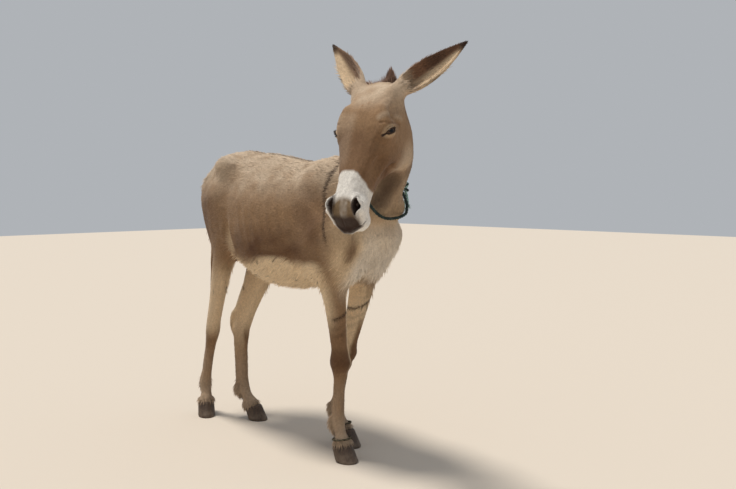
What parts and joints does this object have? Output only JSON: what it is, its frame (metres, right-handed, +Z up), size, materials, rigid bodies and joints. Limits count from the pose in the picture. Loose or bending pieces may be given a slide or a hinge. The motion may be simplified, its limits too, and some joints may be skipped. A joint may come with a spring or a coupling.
{
  "type": "donkey",
  "caption": "A grey-brown working donkey standing with its head turned to its right, life size, wearing a rope collar and a cord hobble on its fore pasterns.",
  "frame": {"origin": "on the floor under the middle of the whole animal's bounding box", "axes": "+X the way the body faces, +Y the donkey's left, +Z up"},
  "size_m": [1.3398, 0.5676, 1.3718],
  "materials": {
    "coat": "short flat hair, mouse dun on the back and sides, cream below",
    "long_hair": "dark coarse hair",
    "hoof": "dusty horn",
    "eye": "wet and clear over a dark iris",
    "collar_cord": "worn laid rope, dark green",
    "hobble_cord": "worn cord"
  },
  "bodies": {
    "root": {"cannon_fore_left": "coat", "cannon_fore_right": "coat", "cannon_hind_left": "coat", "cannon_hind_right": "coat", "collar_knot": "collar_cord", "collar_rope": "collar_cord", "ear_left": "coat", "ear_right": "coat", "eye_left": "eye", "eye_right": "eye", "forearm_left": "coat", "forearm_right": "coat", "gaskin_left": "coat", "gaskin_right": "coat", "head": "coat", "hobble_fore_left": "hobble_cord", "hobble_fore_right": "hobble_cord", "hobble_link": "hobble_cord", "hoof_fore_left": "hoof", "hoof_fore_right": "hoof", "hoof_hind_left": "hoof", "hoof_hind_right": "hoof", "mane": "long_hair", "neck": "coat", "pastern_fore_left": "coat", "pastern_fore_right": "coat", "pastern_hind_left": "coat", "pastern_hind_right": "coat", "tail": "coat", "tail_switch": "long_hair", "trunk": "coat"}
  },
  "joints": []
}
